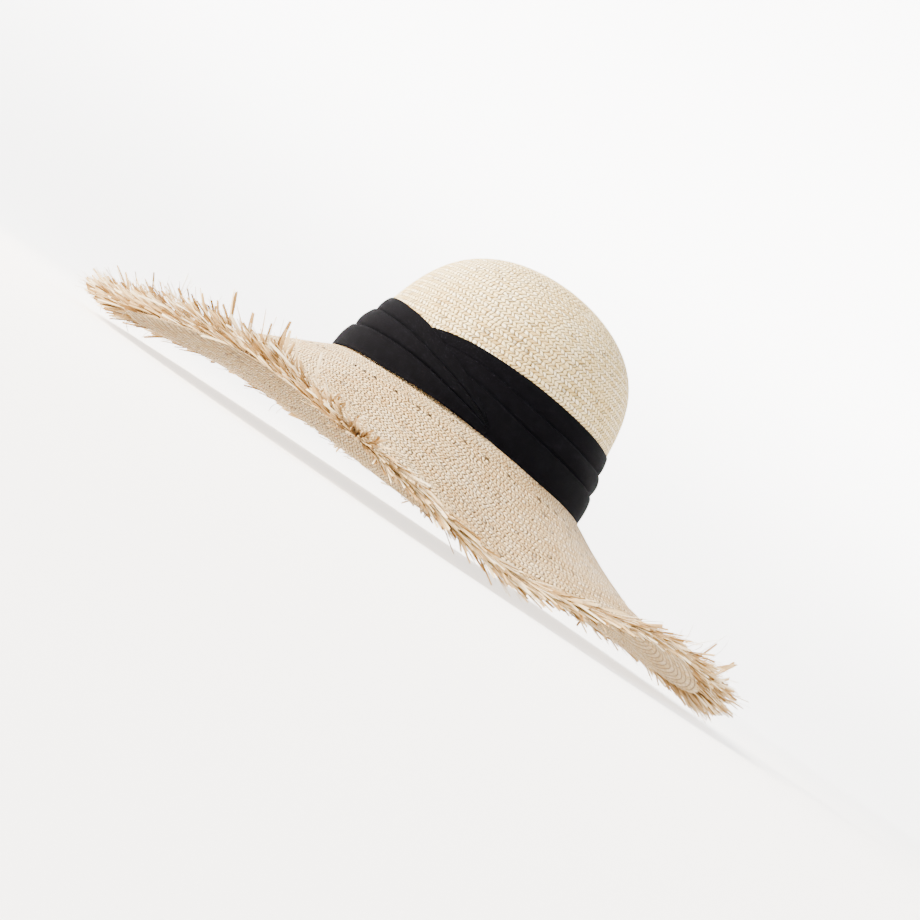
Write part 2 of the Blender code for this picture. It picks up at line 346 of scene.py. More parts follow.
def node(tree, kind, inputs=None, out=0, **settings):
    """Adds a shader node, sets its properties, sets or links its inputs, and returns one of its outputs."""
    made = tree.nodes.new("ShaderNode" + kind)
    for key, value in settings.items():
        setattr(made, key, value)
    for key, value in (inputs or {}).items():
        if isinstance(value, bpy.types.NodeSocket):
            tree.links.new(value, made.inputs[key])
        else:
            made.inputs[key].default_value = value
    return made.outputs[out]


def ramp(tree, factor, stops):
    """Colour ramp through (place, sRGB hex) stops."""
    colour = node(tree, "ValToRGB", {0: factor})
    elements = colour.node.color_ramp.elements
    while len(elements) < len(stops):
        elements.new(0.5)
    for element, (place, code) in zip(elements, stops):
        element.position = place
        element.color = srgb(code)
    return colour


def new_material(name, look):
    """Node material with plain inputs of its Principled shader set; returns it, its tree and the shader."""
    material = bpy.data.materials.new(name)
    material.use_nodes = True
    tree = material.node_tree
    shader = tree.nodes["Principled BSDF"]
    for key, value in look.items():
        shader.inputs[key].default_value = value
    return material, tree, shader


def woven_raffia(name, tones, gap_shade, knuckle_highlight, open_weave, open_ring=False):
    """Split palm raffia, hand woven: dry matt straw whose stitches slant one way and then the other.

    The UV map counts stitches round and rows up. Each stitch is a rounded strip between two slanting gaps,
    with its own tone and fine fibres along it. The gaps, and each stitch's sides and ends as they fall away,
    take the gap colour: painted shade in the crevices. Odd rows are short upright knuckles, painted paler by
    knuckle: a painted highlight on the raised knuckles. Gaps reach open_weave up a stitch's height, and more
    by chance. An open ring is a row of small holes, painted dark: painted shade seen through holes not cut.
    """
    look = {
        "Roughness": 0.72,
        "IOR": 1.45,
        "Specular IOR Level": 0.15,
        "Subsurface Weight": 0.28,
        "Subsurface Radius": (1.0, 0.9, 0.7),
        "Subsurface Scale": 0.003,
    }
    material, tree, shader = new_material(name, look)
    place = node(tree, "UVMap", uv_map="weave")
    round_at = node(tree, "SeparateXYZ", {0: place}, out=0)
    up_at = node(tree, "SeparateXYZ", {0: place}, out=1)
    row = node(tree, "Math", {0: up_at}, operation="FLOOR")
    rise = node(tree, "Math", {0: up_at}, operation="FRACT")
    turned = node(tree, "Math", {0: row, 1: 2.0}, operation="MODULO")

    # Across a stitch: slanted with the height in its row, wandering by up to a stitch, then counted off
    slants = {0: turned, 1: ODD_SLANT - EVEN_SLANT, 2: EVEN_SLANT}
    slant = node(tree, "Math", slants, operation="MULTIPLY_ADD")
    middle = node(tree, "Math", {0: rise, 1: 0.5}, operation="SUBTRACT")
    across = node(tree, "Math", {0: slant, 1: middle, 2: round_at}, operation="MULTIPLY_ADD")
    wander = node(tree, "TexNoise", {"Vector": place, "Scale": 0.9, "Detail": 0.0})
    across = node(tree, "Math", {0: wander, 1: 0.9, 2: across}, operation="MULTIPLY_ADD")
    stitch = node(tree, "Math", {0: across}, operation="FLOOR")
    width_at = node(tree, "Math", {0: across}, operation="FRACT")
    own = node(tree, "CombineXYZ", {0: stitch, 1: row})
    chance = node(tree, "TexWhiteNoise", {"Vector": own}, noise_dimensions="2D")

    def arch(value, power):
        """0 at the ends of a unit span and 1 at its middle: 4x(1-x) to a power."""
        rest = node(tree, "Math", {0: 1.0, 1: value}, operation="SUBTRACT")
        both = node(tree, "Math", {0: value, 1: rest}, operation="MULTIPLY")
        four = node(tree, "Math", {0: both, 1: 4.0}, operation="MULTIPLY")
        return node(tree, "Math", {0: four, 1: power}, operation="POWER")

    # A stitch is highest along its middle, falls roundly to its sides and bluntly to its ends
    rounded = arch(width_at, 1.15)
    ended = arch(rise, 0.5)
    height = node(tree, "Math", {0: rounded, 1: ended}, operation="MULTIPLY")

    # Fibres run along a stitch, many times as long as wide, and don't meet those of the next row
    along = node(tree, "Math", {0: rise, 1: 0.9, 2: row}, operation="MULTIPLY_ADD")
    strand = node(tree, "Math", {0: across, 1: FIBRES_IN_STITCH}, operation="MULTIPLY")
    fibre_at = node(tree, "CombineXYZ", {0: strand, 1: along})
    fibre = node(tree, "TexNoise", {"Vector": fibre_at, "Scale": 1.0, "Detail": 2.0, "Roughness": 0.6})

    # Tone: patches a few centimetres wide, the row's kind (knuckle rows painted paler, a painted highlight),
    # each stitch's own chance and its fibres
    body = node(tree, "TexCoord", out=3)
    patch = node(tree, "TexNoise", {"Vector": body, "Scale": 1 / STRAW_PATCH, "Detail": 1.0})
    tone = node(tree, "Math", {0: patch, 1: 0.5, 2: -0.08 - 0.5 * knuckle_highlight}, operation="MULTIPLY_ADD")
    tone = node(tree, "Math", {0: turned, 1: knuckle_highlight, 2: tone}, operation="MULTIPLY_ADD")
    tone = node(tree, "Math", {0: chance, 1: 0.55, 2: tone}, operation="MULTIPLY_ADD")
    tone = node(tree, "Math", {0: fibre, 1: 0.3, 2: tone}, operation="MULTIPLY_ADD")
    colour = ramp(tree, tone, tones)

    # Gaps widen where a stitch's own chance is high, one in forty to an open slit; the dark over them is
    # painted shade
    worn_slit_shade = node(tree, "Math", {0: chance, 1: 0.975}, operation="GREATER_THAN")
    depth = node(tree, "Math", {0: chance, 1: 0.3, 2: open_weave}, operation="MULTIPLY_ADD")
    depth = node(tree, "Math", {0: worn_slit_shade, 1: 0.9, 2: depth}, operation="MULTIPLY_ADD")
    # The gap colour mixed in as a stitch falls away to its sides and ends is painted shade in the crevices
    cover = {"Value": height, "From Min": 0.02, "From Max": depth}
    solid = node(tree, "MapRange", cover, interpolation_type="SMOOTHSTEP")
    colour = node(tree, "Mix", {0: solid, 6: srgb(gap_shade), 7: colour}, out=2, data_type="RGBA")

    # Holes: the core of most stitches that come first of three, in the row after the fine ones, painted dark
    # brown as painted shade seen through them; no opening is cut
    if open_ring:
        third = node(tree, "Math", {0: stitch, 1: 3.0}, operation="MODULO")
        first = node(tree, "Math", {0: third, 1: 0.5}, operation="LESS_THAN")
        ring = node(tree, "Math", {0: row, 1: float(BRIM_FINE_ROWS), 2: 0.4}, operation="COMPARE")
        hole_shade = node(tree, "Math", {0: first, 1: ring}, operation="MULTIPLY")
        some = node(tree, "Math", {0: chance, 1: 0.35}, operation="GREATER_THAN")
        hole_shade = node(tree, "Math", {0: hole_shade, 1: some}, operation="MULTIPLY")
        core = node(tree, "MapRange", {"Value": height, "From Min": 0.35, "From Max": 0.65})
        hole_shade = node(tree, "Math", {0: hole_shade, 1: core}, operation="MULTIPLY")
        # Painted shade: the dark brown of the holes
        colour = node(tree, "Mix", {0: hole_shade, 6: colour, 7: srgb("24170b")}, out=2, data_type="RGBA")
    tree.links.new(colour, shader.inputs["Base Color"])

    relief = node(tree, "Math", {0: fibre, 1: 0.15, 2: solid}, operation="MULTIPLY_ADD")
    relief = node(tree, "Math", {0: rounded, 1: 0.6, 2: relief}, operation="MULTIPLY_ADD")
    bump = node(tree, "Bump", {"Strength": 1.0, "Distance": 0.0006, "Height": relief})
    tree.links.new(bump, shader.inputs["Normal"])
    return material


def frayed_raffia():
    """Split raffia strips, dry and fibrous: tan with golden-brown shadows and cream ends, streaked along.

    The UV map gives a place across the strip and millimetres along it, and the attribute tone its shade,
    darker at the root as painted shade.
    """
    look = {"Roughness": 0.62, "IOR": 1.3, "Specular IOR Level": 0.12}
    material, tree, shader = new_material("frayed_raffia", look)
    place = node(tree, "UVMap", uv_map="strip")
    width_at = node(tree, "SeparateXYZ", {0: place}, out=0)
    length_at = node(tree, "SeparateXYZ", {0: place}, out=1)
    own = node(tree, "Attribute", out=2, attribute_name="tone")
    across = node(tree, "Math", {0: width_at, 1: 9.0}, operation="MULTIPLY")
    along = node(tree, "Math", {0: length_at, 1: 0.12}, operation="MULTIPLY")
    apart = node(tree, "Math", {0: own, 1: 91.0}, operation="MULTIPLY")
    streak_at = node(tree, "CombineXYZ", {0: across, 1: along, 2: apart})
    streak = node(tree, "TexNoise", {"Vector": streak_at, "Scale": 1.0, "Detail": 2.0, "Roughness": 0.65})
    tone = node(tree, "Math", {0: streak, 1: 0.55, 2: -0.27}, operation="MULTIPLY_ADD")
    tone = node(tree, "Math", {0: own, 1: tone}, operation="ADD")
    tones = [(0.0, "6a4b26"), (0.2, "8c6a3c"), (0.42, "b08d5b")]
    tones += [(0.64, "cbac7c"), (0.84, "e2c99c"), (1.0, "f3e3c2")]
    tree.links.new(ramp(tree, tone, tones), shader.inputs["Base Color"])
    bump = node(tree, "Bump", {"Strength": 0.6, "Distance": 0.0003, "Height": streak})
    tree.links.new(bump, shader.inputs["Normal"])
    return material


def black_crepe():
    """Black viscose crepe: a matt pebbled cloth, a shade lighter where the light grazes its fibres."""
    look = {"Roughness": 0.85, "IOR": 1.2, "Specular IOR Level": 0.1}
    material, tree, shader = new_material("black_crepe", look)
    body = node(tree, "TexCoord", out=3)
    pebble = node(tree, "TexNoise", {"Vector": body, "Scale": 1 / CREPE_PEBBLE, "Detail": 2.0})
    creases = {"Vector": body, "Scale": 1 / CREPE_CREASE, "Detail": 3.0, "Roughness": 0.6}
    crease = node(tree, "TexNoise", creases)
    tone = node(tree, "Math", {0: pebble, 1: 0.6, 2: 0.0}, operation="MULTIPLY_ADD")
    tone = node(tree, "Math", {0: crease, 1: 0.4, 2: tone}, operation="MULTIPLY_ADD")
    colour = ramp(tree, tone, [(0.3, "050507"), (0.55, "07070a"), (0.75, "0c0c10")])
    tree.links.new(colour, shader.inputs["Base Color"])
    relief = node(tree, "Math", {0: crease, 1: 0.8, 2: pebble}, operation="MULTIPLY_ADD")
    bump = node(tree, "Bump", {"Strength": 0.5, "Distance": 0.0003, "Height": relief})
    tree.links.new(bump, shader.inputs["Normal"])
    return material


def add_piece(name, points, faces, material, uv=None, uv_name=None):
    """Smooth mesh object at the origin, riding on the hat, with a UV pair for each face corner if given."""
    mesh = bpy.data.meshes.new(name)
    mesh.vertices.add(len(points))
    mesh.vertices.foreach_set("co", np.ascontiguousarray(points, dtype=np.float32).ravel())
    mesh.loops.add(faces.size)
    mesh.loops.foreach_set("vertex_index", faces.ravel().astype(np.int32))
    mesh.polygons.add(len(faces))
    mesh.polygons.foreach_set("loop_start", np.arange(0, faces.size, faces.shape[1], dtype=np.int32))
    if uv is not None:
        layer = mesh.uv_layers.new(name=uv_name)
        layer.data.foreach_set("uv", np.ascontiguousarray(uv, dtype=np.float32).ravel())
    mesh.update(calc_edges=True)
    mesh.validate()
    mesh.shade_smooth()
    mesh.materials.append(material)
    piece = bpy.data.objects.new(name, mesh)
    bpy.context.scene.collection.objects.link(piece)
    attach(piece, "root")
    return piece


def pairs(rows, sides):
    """Every pair of a row and a side, row by row, as two flat arrays."""
    i, j = np.meshgrid(rows, sides, indexing="ij")
    return i.ravel(), j.ravel()


def weave_faces(ring_count, size, rows, stitches, skip=()):
    """Quads from ring to ring, the last joined to the first, and their UVs: stitches round, rows up.

    A ring in skip isn't joined to the next.
    """
    i, j = pairs(np.setdiff1d(np.arange(ring_count), skip), np.arange(size))
    after = (i + 1) % ring_count
    beside = (j + 1) % size
    faces = np.stack([i * size + j, i * size + beside, after * size + beside, after * size + j], -1)
    left = stitches[i] * j / size
    right = stitches[i] * (j + 1) / size
    low = rows[i]
    high = rows[after]
    uv = np.stack([left, low, right, low, right, high, left, high], -1)
    return faces, uv.reshape(-1, 2)


def merge_poles(piece):
    """Joins points that lie on one another, which closes the crown's tips and the middle of the floor."""
    edit = bmesh.new()
    edit.from_mesh(piece.data)
    bmesh.ops.remove_doubles(edit, verts=edit.verts, dist=1e-6)
    edit.to_mesh(piece.data)
    edit.free()


def crown_rings(length, width, height, share, relief):
    """Level rings at shares of the height, the last the tip, each pushed off the dome by its relief."""
    share = share[:, None]
    bearing = np.arange(CROWN_COLUMNS) * 360 / CROWN_COLUMNS
    reach = crown_reach(share)
    flat = oval(length * reach, width * reach, bearing, height * share, crown_set_back(share))
    around = np.roll(flat, -1, axis=1) - np.roll(flat, 1, axis=1)
    around[-1] = around[-2]
    up = np.gradient(flat, axis=0)
    normal = unit(np.cross(around, up))
    normal[-1] = [0, 0, 1]
    return flat + relief[:, None, None] * normal


def crown():
    """Woven dome: outer rings from the headline to the tip, then inner rings down again.

    Rings lie half a row apart along the dome's curve, and every second one is raised.
    """
    mean_radius = 0.25 * (BASE_LENGTH + BASE_WIDTH)
    samples = 6000
    fine = np.sin(np.linspace(0, math.pi / 2, samples)) ** (2 / CROWN_SQUARENESS)
    curve = np.stack([mean_radius * crown_reach(fine), CROWN_HEIGHT * fine], -1)
    run = np.concatenate([[0], np.cumsum(np.linalg.norm(np.diff(curve, axis=0), axis=1))])
    steps = int(run[-1] / (CROWN_ROW / 2))
    rows = np.linspace(0, steps / 2, steps + 1)
    share = np.interp(rows * 2 / steps * run[-1], run, fine)
    share[-1] = 1.0
    relief = ROW_RELIEF * (np.arange(steps + 1) % 2)
    relief[-1] = 0
    outer = crown_rings(BASE_LENGTH, BASE_WIDTH, CROWN_HEIGHT, share, relief)
    inner = crown_rings(HEAD_LENGTH, HEAD_WIDTH, CROWN_HEIGHT - WALL, share, -relief)[::-1]
    rings = np.concatenate([outer, inner])
    row_at = np.concatenate([rows, rows[::-1]])
    middle = np.floor(np.concatenate([rows, rows[::-1] - 0.25])) + 0.5
    level = np.interp(middle * 2 / steps * run[-1], run, crown_reach(fine))
    stitches = np.maximum(np.round(2 * math.pi * mean_radius * level / CROWN_STITCH), 6)
    faces, uv = weave_faces(len(rings), CROWN_COLUMNS, row_at, stitches, skip=[steps])
    material = woven_raffia(
        "cream_woven_raffia",
        [(0.0, "b3935a"), (0.3, "d7bb80"), (0.6, "ebd49f"), (1.0, "f9eac5")],
        # Gap colour: painted shade in the crevices between stitches
        "6b5632",
        # Knuckle rows painted paler: a painted highlight on the raised knuckles
        knuckle_highlight=0.3,
        open_weave=0.44,
    )
    piece = add_piece("crown_weave", set_down(rings.reshape(-1, 3)), faces, material, uv, "weave")
    merge_poles(piece)
    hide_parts("crown")


def brim():
    """Woven wall from the headline to the edge: rings of the under face outward, then the upper face back.

    Rings lie half a row apart, and every second one is raised. The first rows, beside the crown, are fine.
    """
    fine_rows = np.arange(BRIM_FINE_ROWS) * BRIM_FINE_ROW
    coarse_rows = np.arange(fine_rows[-1] + BRIM_FINE_ROW, BRIM_MEAN_REACH - 0.5 * BRIM_ROW, BRIM_ROW)
    starts = np.concatenate([fine_rows, coarse_rows, [BRIM_MEAN_REACH]]) / BRIM_MEAN_REACH
    rows = np.arange(0, len(starts) - 0.5, 0.5)
    share = np.interp(rows, np.arange(len(starts)), starts)
    bearing = np.arange(BRIM_COLUMNS) * 360 / BRIM_COLUMNS
    at = np.broadcast_to(share[:, None], (len(share), BRIM_COLUMNS))
    top = brim_surface(at, bearing)
    face = brim_axes(at, bearing)[2]
    relief = ROW_RELIEF * (np.arange(len(rows)) % 2)[:, None, None]
    sway = BRIM_SWAY * (at * ripple(5, 9, bearing / 360, at))[..., None] * face
    upper = top + sway + relief * face
    under = top + sway - (WALL + relief) * face
    rings = np.concatenate([under, upper[::-1]])
    row_at = np.concatenate([rows, rows[::-1]])
    middle = np.floor(np.concatenate([rows, rows[::-1] - 0.25])) + 0.5
    mean_share = np.interp(middle, np.arange(len(starts)), starts)
    base_across = 0.5 * (BASE_LENGTH + BASE_WIDTH)
    edge_across = 0.5 * (BRIM_LENGTH + BRIM_WIDTH)
    girth = math.pi * (base_across + mean_share * (edge_across - base_across))
    stitches = 3 * np.round(girth / BRIM_STITCH / 3)
    faces, uv = weave_faces(len(rings), BRIM_COLUMNS, row_at, stitches)
    material = woven_raffia(
        "beige_woven_raffia",
        [(0.0, "9c7544"), (0.3, "c29f6c"), (0.6, "dabc8b"), (1.0, "efdab4")],
        # Gap colour: painted shade in the crevices between stitches
        "3c2814",
        # Knuckle rows painted paler: a painted highlight on the raised knuckles
        knuckle_highlight=0.1,
        open_weave=0.56,
        open_ring=True,
    )
    piece = add_piece("brim_weave", set_down(rings.reshape(-1, 3)), faces, material, uv, "weave")
    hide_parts("brim")


def spline(points, steps):
    """Smooth curve through points along the first axis, steps to a span, by the Catmull-Rom formula."""
    padded = np.concatenate([2 * points[:1] - points[1:2], points, 2 * points[-1:] - points[-2:-1]])
    t = (np.arange(steps) / steps).reshape((1, steps) + (1,) * (points.ndim - 1))
    p0, p1, p2, p3 = (padded[k : k + len(points) - 1][:, None] for k in range(4))
    square = 2 * p0 - 5 * p1 + 4 * p2 - p3
    cube = 3 * p1 - p0 - 3 * p2 + p3
    curve = 0.5 * (2 * p1 + (p2 - p0) * t + square * t**2 + cube * t**3)
    return np.concatenate([curve.reshape((-1,) + points.shape[1:]), points[-1:]])


def band():
    """Crepe strip wound once round the crown: a folded section swept along the winding.

    A point's height is that of its edge or fold, moved by its share of the pleat there. It stands off by its
    share of the bulk, the lift and a soft unevenness. The foot follows the brim's face.
    """
    table = BAND_WINDING
    winding = np.linspace(table["bearing"][0], table["bearing"][-1], CLOTH_COLUMNS)
    turns = winding / 360
    line = {name: column(table, name, winding) for name in table if name != "bearing"}
    line["low_fold"] = line["low_fold"] + FOLD_WANDER * ripple(21, 6, turns * 0.8, 0)
    line["high_fold"] = line["high_fold"] + FOLD_WANDER * ripple(22, 6, turns * 0.8, 0)
    order = ["top", "high_fold", "low_fold", "bottom"]
    control = []
    for name, off, out in CLOTH_PATH:
        k = order.index(name)
        above = line[order[max(k - 1, 0)]] - line[name]
        below = line[name] - line[order[min(k + 1, 3)]]
        share = line[name] + off * np.where(off > 0, above, below)
        out = out * line["bulk"] + line["lift"]
        foot = np.full(CLOTH_COLUMNS, 1.0 if name == "bottom" else 0.0)
        control.append(np.stack([share, out, foot], -1))
    path = spline(np.array(control), CLOTH_STEPS)
    height = BAND_HEIGHT * path[..., 0]
    along = np.linspace(0, 1, len(path))[:, None]
    soft = CLOTH_SOFTNESS * ripple(31, 14, turns[None, :], along) * np.minimum(1, line["bulk"])
    out = np.maximum(CLEARANCE + PLEAT_DEPTH * path[..., 1] + soft, 0.5 * CLEARANCE)
    share = np.maximum(height, 0) / CROWN_HEIGHT
    length = BASE_LENGTH * crown_reach(share) + 2 * out
    width = BASE_WIDTH * crown_reach(share) + 2 * out
    standing = brim_surface(out / BRIM_MEAN_REACH, winding[None, :])[..., 2] + CLOTH_OVER_BRIM
    height = height + np.clip(path[..., 2], 0, 1) * standing
    points = oval(length, width, winding[None, :], height, crown_set_back(share))
    rows, size = height.shape
    i, j = pairs(np.arange(rows - 1), np.arange(size - 1))
    faces = np.stack([i * size + j, (i + 1) * size + j, (i + 1) * size + j + 1, i * size + j + 1], -1)
    piece = add_piece("band_cloth", set_down(points.reshape(-1, 3)), faces, black_crepe())
    wall = piece.modifiers.new("thickness", "SOLIDIFY")
    wall.thickness = CLOTH_THICKNESS
    wall.offset = -1.0
    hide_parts("band")


def strips(name, count, seed, look):
    """Flat raffia strips in clumps, each a lens-shaped section swept along a line that bends and curls.

    A strip's direction starts at a splay above the brim's slope and a heading off its outward line, and both
    drift along its length; the line is the running sum of that direction. The section has four corners,
    tapers along the strip and ends aslant. What would reach under the floor is turned up just above it.
    """
    chance = np.random.default_rng(seed)
    sections = look["sections"]
    clumps = look["clumps"]
    clump = chance.integers(0, clumps, count)
    start, reach = look["arc"]
    clump_at = np.arange(clumps) + chance.uniform(-CLUMP_JITTER, CLUMP_JITTER, clumps)
    clump_at = start + clump_at * reach / clumps
    bearing = clump_at[clump] + chance.normal(0, look["spread"], count)
    swept = look["swept"] * ripple(seed, 7, clump_at / 360, 0)
    swept = swept + look["lie"] * column(FRINGE_LIE, "swept", clump_at, 360)
    heading = (swept + chance.normal(0, look["heading"], clumps))[clump]
    heading = heading + chance.normal(0, look["loose"], count)
    splay = look["flare"] * column(FRINGE_LIE, "flare", bearing, 360)
    splay = splay + chance.uniform(*look["splay"], clumps)[clump]
    splay = splay + chance.normal(0, look["loose"] * 0.5, count)
    curl = chance.normal(0, look["curl"], count)
    bend = chance.uniform(*look["bend"], count)
    length = chance.uniform(*look["length"], count) * chance.uniform(*CLUMP_LENGTHS, clumps)[clump]
    width = chance.uniform(*look["width"], count)
    inset = chance.uniform(*look["inset"], count)
    twist = chance.normal(0, look["twist"], count)
    turn_rate = chance.normal(0, look["twist"], count)
    tone = chance.normal(look["tone"], STRIP_TONE_SPREAD, count)
    tone = np.clip(tone + chance.normal(0, CLUMP_TONE_SPREAD, clumps)[clump], 0, 1)
    rise = chance.uniform(*look["rise"], count)
    cut = chance.uniform(-CUT_SLANT, CUT_SLANT, count)

    share = 1 - np.maximum(inset, 0) / BRIM_MEAN_REACH
    outward, around, face = brim_axes(share, bearing)
    root = brim_surface(share, bearing) + rise[:, None] * face - np.minimum(inset, 0)[:, None] * outward
    t = np.linspace(0, 1, sections)[None, :]
    tilt = np.radians(splay[:, None] + bend[:, None] * t**1.3)
    head = np.radians(heading[:, None] + curl[:, None] * t)
    plan = np.cos(head)[..., None] * outward[:, None] + np.sin(head)[..., None] * around[:, None]
    across = np.cos(head)[..., None] * around[:, None] - np.sin(head)[..., None] * outward[:, None]
    along = np.cos(tilt)[..., None] * plan + np.sin(tilt)[..., None] * face[:, None]
    step = along[:, :-1] * (length / (sections - 1))[:, None, None]
    centre = root[:, None] + np.concatenate([np.zeros((count, 1, 3)), np.cumsum(step, axis=1)], axis=1)
    roll = np.radians(twist[:, None] + turn_rate[:, None] * t)[..., None]
    lift = np.cross(along, across)
    side = np.cos(roll) * across + np.sin(roll) * lift
    over = np.cross(side, along)
    taper = np.interp(t[0], look["taper_at"], look["taper"])[None, :, None]
    half = 0.5 * width[:, None, None] * taper * side
    thick = look["thick"] * np.maximum(taper, THINNEST_SHARE) * over
    aslant = (cut[:, None] * (t[0] == 1))[..., None] * np.linalg.norm(half, axis=-1, keepdims=True) * along
    left = centre - half - aslant
    right = centre + half + aslant
    corners = np.stack([left, centre + thick, right, centre - UNDERSIDE_SHARE * thick], axis=2)
    points = set_down(corners.reshape(-1, 3))
    floor = FLOOR_GAP + FLOOR_GAP_SPREAD * np.repeat(chance.random(count), sections * 4)
    turned_up = floor + 0.1 * np.abs(points[:, 2] - floor)
    points[:, 2] = np.where(points[:, 2] < floor, turned_up, points[:, 2])

    first = (np.arange(count) * sections * 4)[:, None, None]
    ring = first + (np.arange(sections - 1) * 4)[None, :, None]
    near = ring + np.arange(4)
    near_next = ring + (np.arange(4) + 1) % 4
    sides = np.stack([near, near_next, near_next + 4, near + 4], -1)
    root_end = first[:, 0] + np.array([3, 2, 1, 0])
    free_end = first[:, 0] + (sections - 1) * 4 + np.arange(4)
    faces = np.concatenate([sides.reshape(-1, 4), root_end, free_end])

    corner_u = np.array([[0, 0.5, 0.5, 0], [0.5, 1, 1, 0.5], [1, 0.5, 0.5, 1], [0.5, 0, 0, 0.5]])
    millimetres = (length * 1000)[:, None, None, None] * t[0][None, :, None, None]
    v = np.repeat(np.concatenate([millimetres[:, :-1], millimetres[:, 1:]], -1), 2, axis=-1)
    v = np.broadcast_to(v, (count, sections - 1, 4, 4))
    uv = np.stack([np.broadcast_to(corner_u, v.shape), v], -1).reshape(-1, 2)
    uv = np.concatenate([uv, np.zeros((count * 8, 2))])
    piece = add_piece(name, points, faces, look["material"], uv, "strip")
    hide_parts("fringe")
    piece.data.shade_flat()
    paint = piece.data.attributes.new("tone", "FLOAT", "POINT")
    # Tone lost at the root is painted shade where the strips crowd at the woven edge
    ends = np.interp(t[0], [0, 0.35, 1], look["ends"])[None, :]
    shade = np.clip(tone[:, None] + ends, 0, 1)
    paint.data.foreach_set("value", np.repeat(shade.reshape(-1), 4).astype(np.float32))


def fringe():
    """Frayed edge: three layers of clumped strips, stray ones across them, standing ones and fine hairs.

    Angles are in degrees. The arc is a first bearing and how far it reaches; any other pair is the range
    that a strip's value is drawn from. Clumps wander by swept; lie and flare say how much of FRINGE_LIE they
    follow; spread, heading, loose, curl and twist are spreads. Tone runs from 0, dark, to 1, and ends is
    what it gains at the root, a third of the way and the tip; the loss at the root is painted shade where
    the strips crowd at the woven edge.
    """
    middle = {
        "material": frayed_raffia(),
        "arc": (0, 360),
        "sections": 5,
        "clumps": 420,
        "spread": 0.35,
        "swept": 12,
        "lie": 0.8,
        "heading": 13,
        "loose": 9,
        "curl": 6,
        "bend": (-7, 4),
        "splay": (-7, 6),
        "flare": 0.8,
        "inset": (-0.001, 0.002),
        "rise": (-0.0018, 0.0),
        "length": (0.016, 0.0265),
        "width": (0.0008, 0.0020),
        "twist": 26,
        "tone": 0.52,
        "thick": 0.00016,
        "taper_at": [0, 0.2, 0.85, 1],
        "taper": [0.8, 1.0, 0.98, 0.86],
        "ends": [-0.18, 0.0, 0.1],
    }
    under = {
        **middle,
        "splay": (-11, -1),
        "flare": 0.45,
        "inset": (-0.001, 0.003),
        "rise": (-0.0026, -0.001),
        "length": (0.013, 0.023),
        "tone": 0.42,
    }
    over = {
        **middle,
        "splay": (1, 14),
        "flare": 1.1,
        "inset": (-0.001, 0.006),
        "rise": (-0.0005, 0.0006),
        "swept": 16,
        "lie": 1.0,
        "heading": 17,
        "curl": 9,
        "bend": (-10, 2),
        "length": (0.014, 0.025),
        "tone": 0.55,
    }
    sideways = {
        **middle,
        "sections": 7,
        "splay": (0, 9),
        "flare": 0.3,
        "inset": (-0.003, 0.006),
        "rise": (0.0, 0.0016),
        "swept": 40,
        "lie": 1.2,
        "heading": 22,
        "curl": 24,
        "bend": (-18, 0),
        "length": (0.018, 0.034),
        "width": (0.0006, 0.0018),
        "tone": 0.6,
    }
    standing = {
        **middle,
        "splay": (30, 72),
        "flare": 0.0,
        "inset": (0.0, 0.004),
        "rise": (-0.0004, 0.0006),
        "lie": 0.5,
        "heading": 26,
        "curl": 16,
        "bend": (-12, 8),
        "spread": 0.5,
        "length": (0.018, 0.030),
        "width": (0.0010, 0.0030),
        "taper": [0.8, 1.0, 0.92, 0.7],
        "tone": 0.45,
    }
    standing_front = {**standing, "arc": (346, 52), "clumps": 22, "splay": (44, 78)}
    standing_tall = {
        **standing,
        "arc": (22.8, 4.2),
        "clumps": 3,
        "spread": 0.15,
        "swept": 0,
        "lie": 0.3,
        "heading": 9,
        "splay": (56, 70),
        "length": (0.024, 0.029),
        "width": (0.0020, 0.0034),
    }
    standing_back = {**standing, "arc": (112, 180), "clumps": 60}
    hairs = {
        **middle,
        "arc": (90, 300),
        "sections": 8,
        "splay": (-20, 60),
        "flare": 0.0,
        "inset": (-0.002, 0.003),
        "rise": (-0.001, 0.0),
        "heading": 40,
        "curl": 110,
        "bend": (-80, 60),
        "clumps": 200,
        "length": (0.014, 0.032),
        "width": (0.00022, 0.0005),
        "thick": 0.00012,
        "tone": 0.7,
    }
    strips("fringe_under", 1500, 11, under)
    strips("fringe_middle", 1900, 12, middle)
    strips("fringe_over", 1350, 13, over)
    strips("fringe_sideways", 700, 16, sideways)
    strips("fringe_standing_front", 28, 14, standing_front)
    strips("fringe_standing_tall", 4, 18, standing_tall)
    strips("fringe_standing_back", 90, 17, standing_back)
    strips("fringe_hairs", 150, 15, hairs)


def toward(azimuth, elevation):
    """Unit vector at an azimuth from the front (-Y) and an elevation, in degrees."""
    azimuth = math.radians(azimuth)
    elevation = math.radians(elevation)
    level = math.cos(elevation)
    return Vector((math.sin(azimuth) * level, -math.cos(azimuth) * level, math.sin(elevation)))


def camera():
    """Camera on the reference's line of sight, rolled as the picture is, just above the floor."""
    azimuth = math.radians(CAMERA_AZIMUTH)
    roll = math.radians(CAMERA_ROLL)
    back = toward(CAMERA_AZIMUTH, CAMERA_ELEVATION)
    level = Vector((math.cos(azimuth), math.sin(azimuth), 0))
    upright = back.cross(level)
    right = math.cos(roll) * level + math.sin(roll) * upright
    up = back.cross(right)
    data = bpy.data.cameras.new("camera")
    data.lens = CAMERA_LENS
    data.sensor_width = CAMERA_SENSOR
    data.clip_start = 0.01
    made = bpy.data.objects.new("camera", data)
    bpy.context.scene.collection.objects.link(made)
    turn = Matrix((right, up, back)).transposed().to_4x4()
    made.matrix_world = Matrix.Translation(CAMERA_AIM + back * CAMERA_DISTANCE) @ turn
    bpy.context.scene.camera = made


